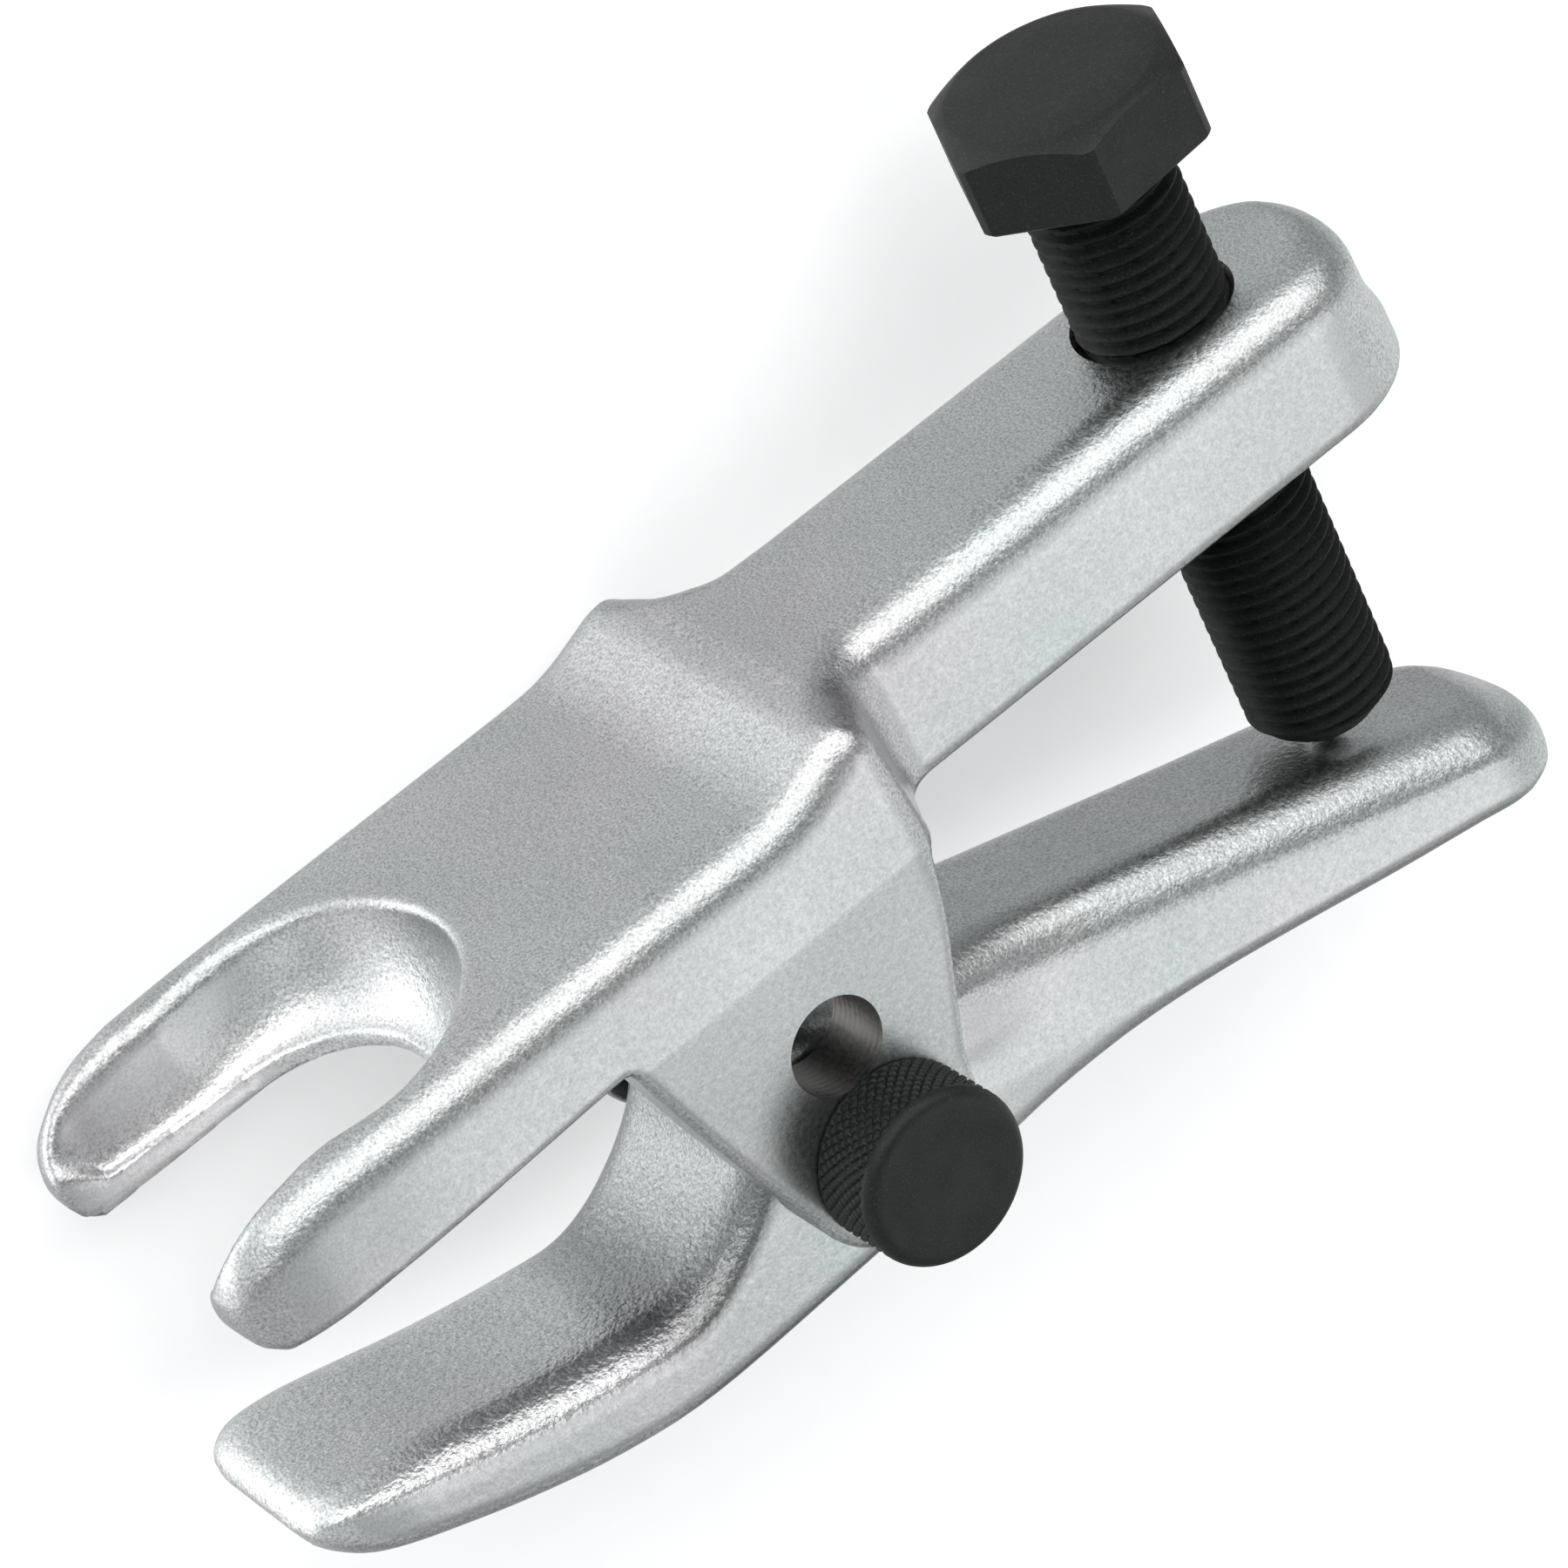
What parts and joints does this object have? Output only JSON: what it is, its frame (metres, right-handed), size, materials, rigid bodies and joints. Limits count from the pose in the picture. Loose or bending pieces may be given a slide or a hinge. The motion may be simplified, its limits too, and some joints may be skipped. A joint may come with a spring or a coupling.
{
  "type": "ball joint separator",
  "caption": "Two-arm forged ball joint separator: a forcing screw spreads the rear arms and a forked jaw closes on the joint, about a removable pivot pin.",
  "frame": {"origin": "the pivot axis where it meets the side face that the tool lies on", "axes": "+X from the fork towards the screw, +Y along the screw towards its hex head, +Z along the pivot pin up through its knurled head"},
  "size_m": [0.1412, 0.0867, 0.0504],
  "materials": {
    "fork_forging": "forged and shot-blasted, satin zinc-grey",
    "lever_forging": "forged and shot-blasted, satin zinc-grey, coarser on the working faces",
    "screw_steel": "black oxide",
    "ball_steel": "hardened and polished",
    "pin_steel": "black oxide, knurled head"
  },
  "bodies": {
    "frame": {"fork_arm": "fork_forging"},
    "lever": {"lever_arm": "lever_forging"},
    "screw_tip": {"screw_tip_ball": "ball_steel"},
    "screw": {"forcing_screw": "screw_steel"},
    "pin": {"pivot_pin": "pin_steel"}
  },
  "joints": [
    {"name": "screw_travel", "type": "slide", "parent": "frame", "child": "screw_tip", "axis": [0, -1, 0], "range_m": [-0.024, 0.0165]},
    {"name": "screw_turn", "type": "hinge", "parent": "screw_tip", "child": "screw", "pos_m": [0.0634, 0, 0.0212], "axis": [0, -1, 0], "range_deg": [-5850, 4050]},
    {"name": "lever_swing", "type": "hinge", "parent": "frame", "child": "lever", "pos_m": [0, 0, 0.0212], "axis": [0, 0, 1], "range_deg": [-14.9, 21.4]},
    {"name": "pin_withdraw", "type": "slide", "parent": "frame", "child": "pin", "axis": [0, 0, 1], "range_m": [0, 0.05]}
  ],
  "couplings": [
    {"joint": "screw_turn", "follows": "screw_travel", "rad_per_m": 4188.8},
    {"joint": "lever_swing", "follows": "screw_travel", "rad_per_m": -15.11}
  ]
}
